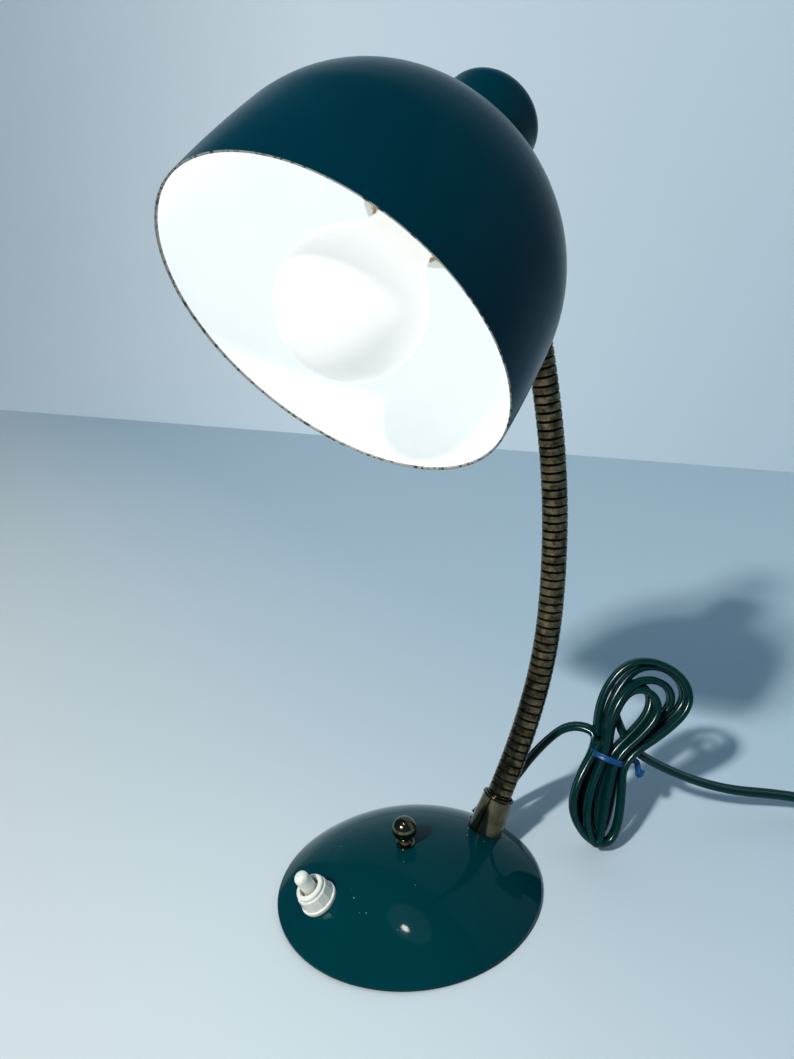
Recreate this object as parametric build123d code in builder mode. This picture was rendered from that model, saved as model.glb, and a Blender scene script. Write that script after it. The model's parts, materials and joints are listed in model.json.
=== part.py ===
from build123d import *
from math import cos, pi, radians, sin, sqrt, tan
import os

os.makedirs("parts", exist_ok=True)

# Millimetres. +Z is up, the origin is the middle of the felt on the table.
# The switch stands at -Y on the base and the neck rises from it at +Y.

# Base: a spun steel dome on a felt disc
BASE_RADIUS = 65.0
LIP_HEIGHT = 2.2
DOME_HEIGHT = 24.9
SHEET = 1.2
DOME_RISE = DOME_HEIGHT - LIP_HEIGHT
DOME_SPHERE = (BASE_RADIUS**2 + DOME_RISE**2) / (2 * DOME_RISE)
DOME_CENTRE_Z = DOME_HEIGHT - DOME_SPHERE
FELT_THICKNESS = 1.0
PLATE_THICKNESS = 1.2
PLATE_TOP = FELT_THICKNESS + PLATE_THICKNESS
WEIGHT_RADIUS = 34.0
WEIGHT_THICKNESS = 11.0
STUD_RADIUS = 2.0
STUD_HEAD_Z = 0.4
BALL_RADIUS = 6.0

# Switch, standing square to the dome
SWITCH_FOOT_Y = -46.8
BUSH_RADIUS = 5.0
PLUNGER_RADIUS = 3.45
PLUNGER_COLLAR = 4.25
RING_NUT_HEIGHT = 10.0
PLUNGER_TOP = 19.0

# Gooseneck: a chain of arcs in a plane that leans slightly towards +X
NECK_FOOT = (0.0, 45.9, 14.2)
NECK_PLANE_LEAN = 0.025
NECK_START_ANGLE = 28.5
NECK_STRETCHES = [(30.0, 0.0), (45.0, -8.5), (45.0, -12.5), (45.0, -6.5),
                  (45.0, -7.0), (45.0, -5.0), (45.0, -9.0), (40.0, -35.0)]
FOOT_STRETCH = NECK_STRETCHES[0][0]
NECK_RADIUS = 6.25
NECK_GROOVE_RADIUS = 5.7
NECK_BORE = 4.0
NECK_FLEX_RADIUS = 2.2
BAND_PITCH = 4.2
BAND_GAP = 0.7
HINGE_GAP = 1.4
LINK_ENDS = [8.0, 75.0, 120.0, 165.0, 210.0, 255.0, 300.0, 319.0]

# Head: everything from the shade's rim upwards, along the shade's axis
RIM_CENTRE = (38.0, -32.2, 268.8)
HEAD_AXIS = (-0.2512, 0.7378, 0.6266)
RIM_RADIUS = 71.5
SHADE_SHEET = 0.8
CROWN_HEIGHT = 95.1
CROWN_RADIUS = 22.5
COVER_RADIUS = 21.8
COVER_TOP = 136.0
COVER_CORNER = 10.0
HOLDER_RADIUS = 16.5
HOLDER_MOUTH = 60.0
SKIRT_RADIUS = 24.0
SKIRT_PLANE = 66.0
SKIRT_END = 85.0
HOLDER_FLOOR = 97.0
BULB_RADIUS = 28.0
BULB_CENTRE = 17.0
BULB_CAP_RADIUS = 13.0

# Cord: flat twin flex, modelled round at its full width
CORD_RADIUS = 3.4
CORD_EXIT = (-17.5, 53.4, 8.5)
CORD_EXIT_DIRECTION = (-0.05, 0.86, 0.5)
GROMMET_RADIUS = 4.6
LEAD_ROUTE = [CORD_EXIT, (-18.8, 75.8, 21.5), (-10.5, 90.5, 43.0), (2.0, 101.0, 57.5), (20.5, 113.0, 55.5)]
TAIL_ROUTE = [(23.9, 118.6, 50.5), (34.0, 139.0, 33.5), (45.5, 168.0, 17.5), (62.0, 198.0, 12.5),
              (84.0, 222.0, 7.0), (112.0, 236.0, 7.0)]
HANK_FOOT = Vector(27.4, 93.5, 5.0)
HANK_TOP = Vector(22.4, 146.2, 93.6)
HANK_WIDE = Vector(0.513, 0.756, -0.408)
PLUG_DIRECTION = Vector(0.894, 0.447, 0.0)


def neck_plane(distance):
    """The cross-section plane of the neck's centreline at a distance from its foot."""
    across, up, angle = 0.0, 0.0, NECK_START_ANGLE
    remaining = distance
    for length, turn in NECK_STRETCHES:
        step = min(remaining, length)
        step_turn = radians(turn) * step / length
        chord = step if turn == 0 else 2 * sin(step_turn / 2) * length / radians(turn)
        heading = radians(angle) + step_turn / 2
        across += chord * sin(heading)
        up += chord * cos(heading)
        angle += turn * step / length
        remaining -= step
        if remaining <= 0:
            break
    origin = (NECK_FOOT[0] + NECK_PLANE_LEAN * up, NECK_FOOT[1] + across, NECK_FOOT[2] + up)
    rise = cos(radians(angle))
    direction = (NECK_PLANE_LEAN * rise, sin(radians(angle)), rise)
    return Plane(origin=origin, x_dir=(1, 0, -NECK_PLANE_LEAN), z_dir=direction)


def dome_profile(inset):
    """Half of the dome's cross-section, inset by a wall thickness."""
    radius = BASE_RADIUS - inset
    top = DOME_HEIGHT - inset
    sphere = DOME_SPHERE - inset
    shoulder = DOME_CENTRE_Z + sqrt(sphere**2 - radius**2)
    middle = radius / 2
    foot = 0.8 if inset == 0 else 0.0
    Line((0, foot), (radius, foot))
    Line((radius, foot), (radius, shoulder))
    ThreePointArc((radius, shoulder), (middle, DOME_CENTRE_Z + sqrt(sphere**2 - middle**2)), (0, top))
    Line((0, top), (0, foot))


def save(part, label):
    part.label = label
    export_step(part, f"parts/{label}.step")


switch_normal = Vector(0, SWITCH_FOOT_Y, sqrt(DOME_SPHERE**2 - SWITCH_FOOT_Y**2)) / DOME_SPHERE
switch_plane = Plane(origin=(0, SWITCH_FOOT_Y, DOME_CENTRE_Z + sqrt(DOME_SPHERE**2 - SWITCH_FOOT_Y**2)),
                     x_dir=(1, 0, 0), z_dir=switch_normal)
exit_plane = Plane(origin=CORD_EXIT, x_dir=(1, 0, 0), z_dir=CORD_EXIT_DIRECTION)
head_plane = Plane(origin=RIM_CENTRE, x_dir=(0.947, 0.322, 0), z_dir=HEAD_AXIS)


def along(plane, distance):
    """The same plane moved along its own normal."""
    return plane.offset(distance)


# ---------------------------------------------------------------- base
with BuildPart() as base_shell:
    with BuildSketch(Plane.XZ):
        with BuildLine():
            dome_profile(0)
        make_face()
    revolve(axis=Axis.Z)
    with BuildSketch(Plane.XZ):
        with BuildLine():
            dome_profile(SHEET)
        make_face()
    revolve(axis=Axis.Z, mode=Mode.SUBTRACT)
    with Locations((0, 0, DOME_HEIGHT)):
        Cylinder(STUD_RADIUS + 0.2, 10, mode=Mode.SUBTRACT)
    with Locations(switch_plane):
        Cylinder(BUSH_RADIUS + 0.3, 12, mode=Mode.SUBTRACT)
    with Locations(neck_plane(0)):
        Cylinder(BUSH_RADIUS + 0.3, 12, mode=Mode.SUBTRACT)
    with Locations(exit_plane):
        Cylinder(GROMMET_RADIUS + 0.1, 14, mode=Mode.SUBTRACT)
save(base_shell.part, "base_shell")

with BuildPart() as base_felt:
    with BuildSketch():
        Circle(BASE_RADIUS - 2.2)
    extrude(amount=FELT_THICKNESS)
    with BuildSketch(Plane.XY.offset(STUD_HEAD_Z)):
        Circle(5.5)
    extrude(amount=FELT_THICKNESS, mode=Mode.SUBTRACT)
save(base_felt.part, "base_felt")

with BuildPart() as base_plate:
    with BuildSketch(Plane.XY.offset(FELT_THICKNESS)):
        Circle(BASE_RADIUS - 2.4)
        Circle(STUD_RADIUS + 0.2, mode=Mode.SUBTRACT)
    extrude(amount=PLATE_THICKNESS)
save(base_plate.part, "base_plate")

with BuildPart() as base_weight:
    with BuildSketch(Plane.XY.offset(PLATE_TOP)):
        Circle(WEIGHT_RADIUS)
        Circle(STUD_RADIUS + 0.5, mode=Mode.SUBTRACT)
    extrude(amount=WEIGHT_THICKNESS)
    fillet(base_weight.edges().group_by(Axis.Z)[-1], 1.5)
save(base_weight.part, "base_weight")

with BuildPart() as tie_stud:
    with BuildSketch(Plane.XY.offset(STUD_HEAD_Z)):
        Circle(4.5)
    extrude(amount=FELT_THICKNESS - STUD_HEAD_Z)
    with BuildSketch(Plane.XY.offset(FELT_THICKNESS)):
        Circle(STUD_RADIUS)
    extrude(amount=DOME_HEIGHT + BALL_RADIUS)
save(tie_stud.part, "tie_stud")

ball_centre = DOME_HEIGHT + 8.3
with BuildPart() as ball_nut:
    with Locations((0, 0, ball_centre)):
        Sphere(BALL_RADIUS)
    with BuildSketch(Plane.XY.offset(DOME_HEIGHT)):
        Circle(3.6)
    extrude(amount=4)
    with BuildSketch(Plane.XY.offset(DOME_HEIGHT)):
        Circle(4.6)
    extrude(amount=0.8)
    with BuildSketch(Plane.XY.offset(DOME_HEIGHT)):
        Circle(STUD_RADIUS + 0.03)
    extrude(amount=BALL_RADIUS + 1.5, mode=Mode.SUBTRACT)
save(ball_nut.part, "ball_nut")


def base_wire(side):
    """An insulated wire lying round the weight, from the switch to the neck."""
    with BuildPart() as wire:
        with BuildLine():
            CenterArc((0, 0, 6), 39.0, -72, 140)
        with BuildSketch(Plane(origin=(39 * cos(radians(-72)), 39 * sin(radians(-72)), 6),
                               z_dir=(sin(radians(72)), cos(radians(72)), 0))):
            Circle(1.4)
        sweep()
    return wire.part if side > 0 else mirror(wire.part, about=Plane.YZ)


save(base_wire(1), "base_wire_near")
save(base_wire(-1), "base_wire_far")

# ---------------------------------------------------------------- switch
with BuildPart() as switch_body:
    with BuildSketch(along(switch_plane, -9.0)):
        Circle(7.0)
    extrude(amount=7.3)
    with BuildSketch(along(switch_plane, -9.0)):
        with Locations((4, 0), (-4, 0)):
            Rectangle(1.2, 4)
    extrude(amount=-1.2)
save(switch_body.part, "switch_body")

with BuildPart() as switch_bush:
    with BuildSketch(along(switch_plane, -1.7)):
        Circle(BUSH_RADIUS)
        Circle(4.3, mode=Mode.SUBTRACT)
    extrude(amount=8.5)
save(switch_bush.part, "switch_bush")

with BuildPart() as switch_ring_nut:
    with BuildSketch(along(switch_plane, 0.05)):
        Circle(8.9)
    extrude(amount=1.6)
    with BuildSketch(along(switch_plane, 1.65)):
        RegularPolygon(8.3, 12)
    with BuildSketch(along(switch_plane, 7.8)):
        RegularPolygon(7.6, 12)
    loft()
    with BuildSketch(along(switch_plane, 7.8)):
        Circle(6.95)
    extrude(amount=RING_NUT_HEIGHT - 7.8)
    fillet(switch_ring_nut.edges().filter_by(GeomType.CIRCLE).sort_by(SortBy.DISTANCE)[-1], 0.6)
    with BuildSketch(along(switch_plane, 0.05)):
        Circle(BUSH_RADIUS + 0.05)
    extrude(amount=6.9, mode=Mode.SUBTRACT)
    with BuildSketch(along(switch_plane, 5)):
        Circle(PLUNGER_RADIUS + 0.05)
    extrude(amount=8, mode=Mode.SUBTRACT)
    with BuildSketch(along(switch_plane, 8.4)):
        Circle(4.7)
    extrude(amount=4, mode=Mode.SUBTRACT)
save(switch_ring_nut.part, "switch_ring_nut")

with BuildPart() as switch_plunger:
    with BuildSketch(along(switch_plane, 3.0)):
        Circle(2.5)
    extrude(amount=2.0)
    with BuildSketch(along(switch_plane, 5.0)):
        Circle(PLUNGER_COLLAR)
    extrude(amount=1.6)
    with BuildSketch(along(switch_plane, 6.6)):
        Circle(PLUNGER_RADIUS)
    extrude(amount=PLUNGER_TOP - 6.6)
    plunger_edges = switch_plunger.edges()
    top_edge = plunger_edges.sort_by(
        lambda edge: (edge.center() - switch_plane.origin).dot(switch_normal))[-1]
    fillet(top_edge, 3.0)
save(switch_plunger.part, "switch_plunger")

with BuildPart() as switch_spring:
    with BuildLine() as spring_line:
        Helix(pitch=1.25, height=5.8, radius=3.5)
    with BuildSketch(Plane(origin=spring_line.line @ 0, z_dir=spring_line.line % 0)):
        Circle(0.3)
    sweep(is_frenet=True)
save(switch_spring.part.moved(along(switch_plane, -1.3).location), "switch_spring")

# ---------------------------------------------------------------- neck foot
foot_plane = neck_plane(0)
with BuildPart() as neck_ferrule:
    with BuildSketch(along(foot_plane, -4)):
        Circle(9.0)
    with BuildSketch(along(foot_plane, 18.6)):
        Circle(7.7)
    loft()
    with BuildSketch(along(foot_plane, 18.6)):
        Circle(8.1)
    extrude(amount=1.6)
    with BuildSketch(along(foot_plane, 7.8)):
        Circle(NECK_RADIUS + 0.05)
    extrude(amount=14, mode=Mode.SUBTRACT)
    with BuildSketch(along(foot_plane, -6)):
        Circle(BUSH_RADIUS + 0.05)
    extrude(amount=15, mode=Mode.SUBTRACT)
    with Locations((0, 0, DOME_CENTRE_Z)):
        Sphere(DOME_SPHERE, mode=Mode.SUBTRACT)
save(neck_ferrule.part, "neck_ferrule")

with BuildPart() as neck_nipple:
    with BuildSketch(along(foot_plane, -8)):
        Circle(BUSH_RADIUS)
        Circle(3.4, mode=Mode.SUBTRACT)
    extrude(amount=15.6)
save(neck_nipple.part, "neck_nipple")

with BuildPart() as neck_washer:
    with BuildSketch(along(foot_plane, -3.1)):
        Circle(9.0)
        Circle(BUSH_RADIUS + 0.1, mode=Mode.SUBTRACT)
    extrude(amount=1.0)
save(neck_washer.part, "neck_washer")

with BuildPart() as neck_nut:
    with BuildSketch(along(foot_plane, -6.1)):
        RegularPolygon(8.0, 6)
        Circle(BUSH_RADIUS + 0.05, mode=Mode.SUBTRACT)
    extrude(amount=3.0)
save(neck_nut.part, "neck_nut")


# ---------------------------------------------------------------- gooseneck
def stretches(start, end):
    """The range split where the straight foot of the neck runs into the first arc."""
    return [(start, FOOT_STRETCH), (FOOT_STRETCH, end)] if start < FOOT_STRETCH else [(start, end)]


def neck_link(start, end):
    """One stretch of the banded tube: flat bands joined by narrower rings, with a bore for the flex."""
    bands = round((end - start) / BAND_PITCH)
    pitch = (end - start + BAND_GAP) / bands
    centres = [start + (pitch - BAND_GAP) / 2 + pitch * index for index in range(bands)]
    grooves = [(first + second) / 2 for first, second in zip(centres, centres[1:])]
    with BuildPart() as link:
        with Locations(*[neck_plane(centre) for centre in centres]):
            Cylinder(NECK_RADIUS, pitch - BAND_GAP)
        with Locations(*[neck_plane(groove) for groove in grooves]):
            Cylinder(NECK_GROOVE_RADIUS, BAND_GAP + 1.0)
        for low, high in stretches(start, end):
            foot, middle, top = (neck_plane(place).origin for place in (low, (low + high) / 2, high))
            with BuildLine():
                if high <= FOOT_STRETCH:
                    Line(foot, top)
                else:
                    ThreePointArc(foot, middle, top)
            with BuildSketch(neck_plane(low)):
                Circle(NECK_BORE)
            sweep(mode=Mode.SUBTRACT)
    return link.part


def neck_flex(start, end):
    """The two-core flex inside one stretch, as a round tube along the same arc."""
    with BuildPart() as flex:
        with BuildLine():
            middle = neck_plane((start + end) / 2).origin
            ThreePointArc(neck_plane(start).origin, middle, neck_plane(end).origin)
        with BuildSketch(neck_plane(start)):
            Circle(NECK_FLEX_RADIUS)
        sweep()
    return flex.part


for number, (start, end) in enumerate(zip(LINK_ENDS, LINK_ENDS[1:]), 1):
    first = start if number == 1 else start + HINGE_GAP / 2
    last = end if number == 7 else end - HINGE_GAP / 2
    save(neck_link(first, last), f"neck_link_{number}")
    flex_start = 31.0 if number == 1 else first
    save(neck_flex(flex_start, last), f"neck_flex_{number}")

with BuildPart() as foot_flex:
    with BuildSketch(along(foot_plane, -9)):
        Circle(NECK_FLEX_RADIUS)
    extrude(amount=39.0)
save(foot_flex.part, "foot_flex")

# ---------------------------------------------------------------- head
entry_plane = neck_plane(LINK_ENDS[-1])


def shade_profile(inset, foot):
    """Half of the shade's cross-section: a nearly straight skirt, a round shoulder and a flat crown."""
    rim = (RIM_RADIUS - inset, foot)
    skirt_middle = (71.3 - inset, 19)
    skirt_top = (69.6 - inset, 38)
    shoulder = (56.9 - 0.75 * inset, 72.8 - 0.65 * inset)
    crown_edge = (CROWN_RADIUS, CROWN_HEIGHT - inset)
    Line((0, foot), rim)
    ThreePointArc(rim, skirt_middle, skirt_top)
    ThreePointArc(skirt_top, shoulder, crown_edge)
    Line(crown_edge, (0, CROWN_HEIGHT - inset))
    Line((0, CROWN_HEIGHT - inset), (0, foot))


with BuildPart() as shade:
    with BuildSketch(Plane.XZ):
        with BuildLine():
            shade_profile(0, 0)
        make_face()
    revolve(axis=Axis.Z)
    with BuildSketch(Plane.XZ):
        with BuildLine():
            shade_profile(SHADE_SHEET, -1)
        make_face()
    revolve(axis=Axis.Z, mode=Mode.SUBTRACT)
    with BuildSketch(Plane.XY.offset(CROWN_HEIGHT - 5)):
        Circle(HOLDER_RADIUS + 0.3)
        with PolarLocations(19.95, 12):
            Circle(0.9)
    extrude(amount=10, mode=Mode.SUBTRACT)
save(shade.part.moved(head_plane.location), "shade")

with BuildPart() as socket_cover:
    with BuildSketch(Plane.XY.offset(CROWN_HEIGHT)):
        Circle(COVER_RADIUS)
    extrude(amount=COVER_TOP - CROWN_HEIGHT)
    fillet(socket_cover.edges().group_by(Axis.Z)[-1], COVER_CORNER)
    offset(amount=-SHADE_SHEET, openings=socket_cover.faces().sort_by(Axis.Z)[0])
cover_hole = Cylinder(BUSH_RADIUS + 0.3, 14).moved(along(entry_plane, 4).location)
save(socket_cover.part.moved(head_plane.location) - cover_hole, "socket_cover")

with BuildPart() as shade_ring:
    with BuildSketch(Plane.XY.offset(CROWN_HEIGHT - SHADE_SHEET - 2.4)):
        Circle(19.0)
        Circle(HOLDER_RADIUS + 0.05, mode=Mode.SUBTRACT)
    extrude(amount=2.4)
save(shade_ring.part.moved(head_plane.location), "shade_ring")

with BuildPart() as holder_skirt:
    with BuildSketch(Plane.XY.offset(SKIRT_PLANE)):
        Circle(SKIRT_RADIUS)
    extrude(amount=SKIRT_END - SKIRT_PLANE)
    with BuildSketch(Plane.XY.offset(SKIRT_PLANE + 0.6)):
        Circle(SKIRT_RADIUS - 0.6)
    extrude(amount=SKIRT_END - SKIRT_PLANE, mode=Mode.SUBTRACT)
    with BuildSketch(Plane.XY.offset(SKIRT_PLANE - 1)):
        Circle(HOLDER_RADIUS + 0.05)
        with PolarLocations(0, 6, start_angle=30):
            Polygon((18.0, -4.2), (22.6, 0), (18.0, 4.2), align=None)
    extrude(amount=3, mode=Mode.SUBTRACT)
save(holder_skirt.part.moved(head_plane.location), "holder_skirt")

with BuildPart() as lampholder_body:
    with BuildSketch(Plane.XY.offset(HOLDER_MOUTH)):
        Circle(HOLDER_RADIUS)
    extrude(amount=HOLDER_FLOOR - HOLDER_MOUTH)
    with BuildSketch(Plane.XY.offset(HOLDER_FLOOR)):
        Circle(15.0)
    extrude(amount=5.5)
    with BuildSketch(Plane.XY.offset(HOLDER_MOUTH)):
        Circle(14.0)
    extrude(amount=HOLDER_FLOOR - HOLDER_MOUTH, mode=Mode.SUBTRACT)
save(lampholder_body.part.moved(head_plane.location), "lampholder_body")

with BuildPart() as thread_shell:
    with BuildSketch(Plane.XY.offset(HOLDER_MOUTH + 1)):
        Circle(13.9)
        Circle(13.4, mode=Mode.SUBTRACT)
    extrude(amount=33)
save(thread_shell.part.moved(head_plane.location), "thread_shell")

with BuildPart() as centre_contact:
    with BuildSketch(Plane.XY.offset(HOLDER_FLOOR - 1.2)):
        SlotOverall(16, 6)
    extrude(amount=1.2)
save(centre_contact.part.moved(head_plane.location), "centre_contact")


GLOBE_END_ANGLE = 42
globe_end_height = BULB_CENTRE + BULB_RADIUS * sin(radians(GLOBE_END_ANGLE))


def bulb_profile(inset):
    """Half of the bulb's cross-section: a round globe running into a straight neck."""
    globe = BULB_RADIUS - inset
    neck = 12.4 - inset
    joint_angle = radians(GLOBE_END_ANGLE)
    joint = (globe * cos(joint_angle), BULB_CENTRE + globe * sin(joint_angle))
    neck_start = (neck, 62)
    Line((0, 70), (0, BULB_CENTRE - globe))
    ThreePointArc((0, BULB_CENTRE - globe), (globe, BULB_CENTRE), joint)
    TangentArc(joint, neck_start, tangent=(-sin(joint_angle), cos(joint_angle)))
    Line(neck_start, (neck, 70))
    Line((neck, 70), (0, 70))


with BuildPart() as bulb:
    with BuildSketch(Plane.XZ):
        with BuildLine():
            bulb_profile(0)
        make_face()
    revolve(axis=Axis.Z)
    with BuildSketch(Plane.XZ):
        with BuildLine():
            bulb_profile(0.8)
        make_face()
    revolve(axis=Axis.Z, mode=Mode.SUBTRACT)
# The one glass is kept as two solids that meet where the globe runs into its neck
for name, side in (("bulb_glass", Keep.BOTTOM), ("bulb_neck", Keep.TOP)):
    half = split(bulb.part, bisect_by=Plane.XY.offset(globe_end_height), keep=side)
    save(half.moved(head_plane.location), name)

with BuildPart() as bulb_stem:
    with BuildSketch(Plane.XY.offset(20)):
        Circle(1.4)
    with BuildSketch(Plane.XY.offset(46)):
        Circle(3.0)
    with BuildSketch(Plane.XY.offset(70)):
        Circle(6.0)
    loft()
save(bulb_stem.part.moved(head_plane.location), "bulb_stem")

with BuildPart() as bulb_filament:
    with BuildLine():
        CenterArc((0, 0, 19), 9.0, 20, 320)
    with BuildSketch(Plane(origin=(9 * cos(radians(20)), 9 * sin(radians(20)), 19),
                           z_dir=(-sin(radians(20)), cos(radians(20)), 0))):
        Circle(0.3)
    sweep()
save(bulb_filament.part.moved(head_plane.location), "bulb_filament")

with BuildPart() as bulb_cap:
    with BuildSketch(Plane.XY.offset(70)):
        Circle(BULB_CAP_RADIUS)
    extrude(amount=21)
    with BuildSketch(Plane.XY.offset(91)):
        Circle(BULB_CAP_RADIUS - 0.5)
    with BuildSketch(Plane.XY.offset(HOLDER_FLOOR - 1.25)):
        Circle(4.5)
    loft()
save(bulb_cap.part.moved(head_plane.location), "bulb_cap")

with BuildPart() as head_ferrule:
    with BuildSketch(along(entry_plane, -6)):
        Circle(8.0)
    with BuildSketch(along(entry_plane, 4)):
        Circle(8.8)
    loft()
    with BuildSketch(along(entry_plane, -7)):
        Circle(NECK_RADIUS + 0.5)
    extrude(amount=7.4, mode=Mode.SUBTRACT)
    with BuildSketch(along(entry_plane, -1)):
        Circle(BUSH_RADIUS + 0.05)
    extrude(amount=8, mode=Mode.SUBTRACT)
    with Locations(along(head_plane, 110)):
        Cylinder(COVER_RADIUS, 60, mode=Mode.SUBTRACT)
save(head_ferrule.part, "head_ferrule")

with BuildPart() as head_nipple:
    with BuildSketch(along(entry_plane, 0.5)):
        Circle(BUSH_RADIUS)
        Circle(3.4, mode=Mode.SUBTRACT)
    extrude(amount=9.0)
save(head_nipple.part, "head_nipple")

with BuildPart() as head_nut:
    with BuildSketch(along(entry_plane, 4.4)):
        RegularPolygon(7.4, 6)
        Circle(BUSH_RADIUS + 0.05, mode=Mode.SUBTRACT)
    extrude(amount=2.4)
save(head_nut.part, "head_nut")

with BuildPart() as head_flex:
    with BuildSketch(along(entry_plane, 0.5)):
        Circle(NECK_FLEX_RADIUS)
    extrude(amount=20.0)
save(head_flex.part, "head_flex")


# ---------------------------------------------------------------- cord
def fillet_radii(route):
    """Arc radii that use up at most 45 % of the shorter run beside each bend."""
    radii = []
    points = [Vector(*point) for point in route]
    for before, corner, after in zip(points, points[1:], points[2:]):
        shorter = min((corner - before).length, (after - corner).length)
        turn = (corner - before).get_angle(after - corner)
        radii.append(0.45 * shorter / tan(radians(turn) / 2))
    return radii


def cord_tube(route):
    with BuildPart() as tube:
        with BuildLine() as path:
            FilletPolyline(*route, radius=fillet_radii(route))
        with BuildSketch(Plane(origin=path.line @ 0, z_dir=path.line % 0)):
            Circle(CORD_RADIUS)
        sweep()
    length = path.wire().length
    section_volume = pi * CORD_RADIUS**2 * length
    print("cord run", round(length, 1), "radii", [round(radius) for radius in fillet_radii(route)],
          "volume ratio", round(tube.part.volume / section_volume, 4))
    return tube.part


save(cord_tube(LEAD_ROUTE), "cord_lead")
save(cord_tube(TAIL_ROUTE), "cord_tail")

with BuildPart() as cord_grommet:
    with BuildSketch(along(exit_plane, -4)):
        Circle(GROMMET_RADIUS)
    with BuildSketch(along(exit_plane, 13)):
        Circle(CORD_RADIUS + 0.6)
    loft()
    with BuildSketch(along(exit_plane, -5)):
        Circle(CORD_RADIUS + 0.05)
    extrude(amount=22, mode=Mode.SUBTRACT)
save(cord_grommet.part, "cord_grommet")

hank_axis = (HANK_TOP - HANK_FOOT).normalized()
hank_length = (HANK_TOP - HANK_FOOT).length
TIE_PLACE = 0.42
TIE_SHIFT = -8.0
# How far along the hank, how far off its straight line, how wide and how thick
HANK_SECTIONS = [(0.0, 1, 14, 8), (0.2, -6.5, 26, 13), (0.45, -8, 15.6, 15), (0.78, -0.5, 39, 15),
                 (1.0, -2, 18, 9)]
with BuildPart() as cord_hank:
    for fraction, shift, width, thickness in HANK_SECTIONS:
        centre = HANK_FOOT + hank_axis * (hank_length * fraction) + HANK_WIDE * shift
        with BuildSketch(Plane(origin=centre, x_dir=HANK_WIDE, z_dir=hank_axis)):
            Ellipse(width / 2, thickness / 2)
    loft()
save(cord_hank.part, "cord_hank")

tie_centre = HANK_FOOT + hank_axis * (hank_length * TIE_PLACE) + HANK_WIDE * TIE_SHIFT
tie_plane = Plane(origin=tie_centre, x_dir=HANK_WIDE, z_dir=hank_axis)
with BuildPart() as cord_tie:
    with BuildSketch(along(tie_plane, -2)):
        Circle(9.8)
        Circle(9.0, mode=Mode.SUBTRACT)
    extrude(amount=4)
    with BuildSketch(Plane(origin=tie_centre + HANK_WIDE * 9.4, x_dir=hank_axis, z_dir=HANK_WIDE)):
        Rectangle(3, 1.2)
    extrude(amount=12)
save(cord_tie.part, "cord_tie")

plug_start = Vector(*TAIL_ROUTE[-1])
plug_plane = Plane(origin=plug_start, x_dir=(-0.447, 0.894, 0), z_dir=PLUG_DIRECTION)
with BuildPart() as plug_body:
    with BuildSketch(plug_plane):
        RectangleRounded(9, 9, 4)
    with BuildSketch(along(plug_plane, 16)):
        RectangleRounded(22, 13.6, 5)
    loft()
    with BuildSketch(along(plug_plane, 16)):
        RectangleRounded(26, 13.6, 5)
    extrude(amount=19)
save(plug_body.part, "plug_body")

with BuildPart() as plug_pins:
    with BuildSketch(along(plug_plane, 35)):
        with Locations((9.3, 0), (-9.3, 0)):
            Circle(2.0)
    extrude(amount=19)
    fillet(plug_pins.edges().group_by(Axis(origin=(0, 0, 0), direction=PLUG_DIRECTION))[-1], 1.5)
save(plug_pins.part, "plug_pins")
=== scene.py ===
# %% [markdown]
# A gooseneck desk lamp: a spun steel foot, a banded brass neck that stays where it is bent,
# and a deep enamelled shade. The CAD frame already holds every part at its true place and size.
# This lesson loads that frame, then gives each visible part its finished shape and surface.

# %% Load the frame
import json
from math import atan2, cos, pi, radians, sin, sqrt

import bmesh
import bpy
from mathutils import Matrix, Vector


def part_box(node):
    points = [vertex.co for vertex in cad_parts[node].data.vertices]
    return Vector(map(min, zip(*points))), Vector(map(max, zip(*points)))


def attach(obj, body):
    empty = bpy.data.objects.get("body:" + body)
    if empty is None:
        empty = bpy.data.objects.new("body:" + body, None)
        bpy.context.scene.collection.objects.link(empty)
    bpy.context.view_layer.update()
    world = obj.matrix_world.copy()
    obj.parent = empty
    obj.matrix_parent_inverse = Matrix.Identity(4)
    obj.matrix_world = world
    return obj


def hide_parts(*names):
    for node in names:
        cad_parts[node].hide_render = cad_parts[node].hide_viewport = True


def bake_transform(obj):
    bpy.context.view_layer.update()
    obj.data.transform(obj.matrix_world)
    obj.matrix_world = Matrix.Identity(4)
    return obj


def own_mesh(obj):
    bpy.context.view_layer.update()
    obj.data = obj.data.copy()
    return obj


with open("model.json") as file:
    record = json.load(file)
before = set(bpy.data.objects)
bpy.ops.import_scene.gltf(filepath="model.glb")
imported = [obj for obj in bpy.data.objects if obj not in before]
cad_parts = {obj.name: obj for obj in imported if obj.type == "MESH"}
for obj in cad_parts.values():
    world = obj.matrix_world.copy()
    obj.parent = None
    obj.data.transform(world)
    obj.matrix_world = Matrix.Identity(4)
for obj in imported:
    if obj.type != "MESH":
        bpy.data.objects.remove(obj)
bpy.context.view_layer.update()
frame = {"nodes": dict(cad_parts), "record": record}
scene = bpy.context.scene

# %% [markdown]
# The camera looks down on the lamp from the side, a little turned about its own axis,
# as a hand-held camera is. A wide lens from close by makes the shade loom over the small foot.
# The film is taller than wide, so the lens is stated against the tall side.

# %% Camera
camera_data = bpy.data.cameras.new("viewpoint")
camera = bpy.data.objects.new("viewpoint", camera_data)
scene.collection.objects.link(camera)
scene.camera = camera
camera.location = (0.3051, -0.1437, 0.2740)
looking_along = Vector((-0.8647, 0.4311, -0.2578))
camera_roll = Matrix.Rotation(radians(-4.37), 3, "Z")
camera.rotation_euler = (looking_along.to_track_quat("-Z", "Y").to_matrix() @ camera_roll).to_euler()
camera_data.sensor_width = 36
camera_data.lens = 27.03
camera_data.clip_start = 0.01
print("camera at", [round(value, 3) for value in camera.location])

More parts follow.
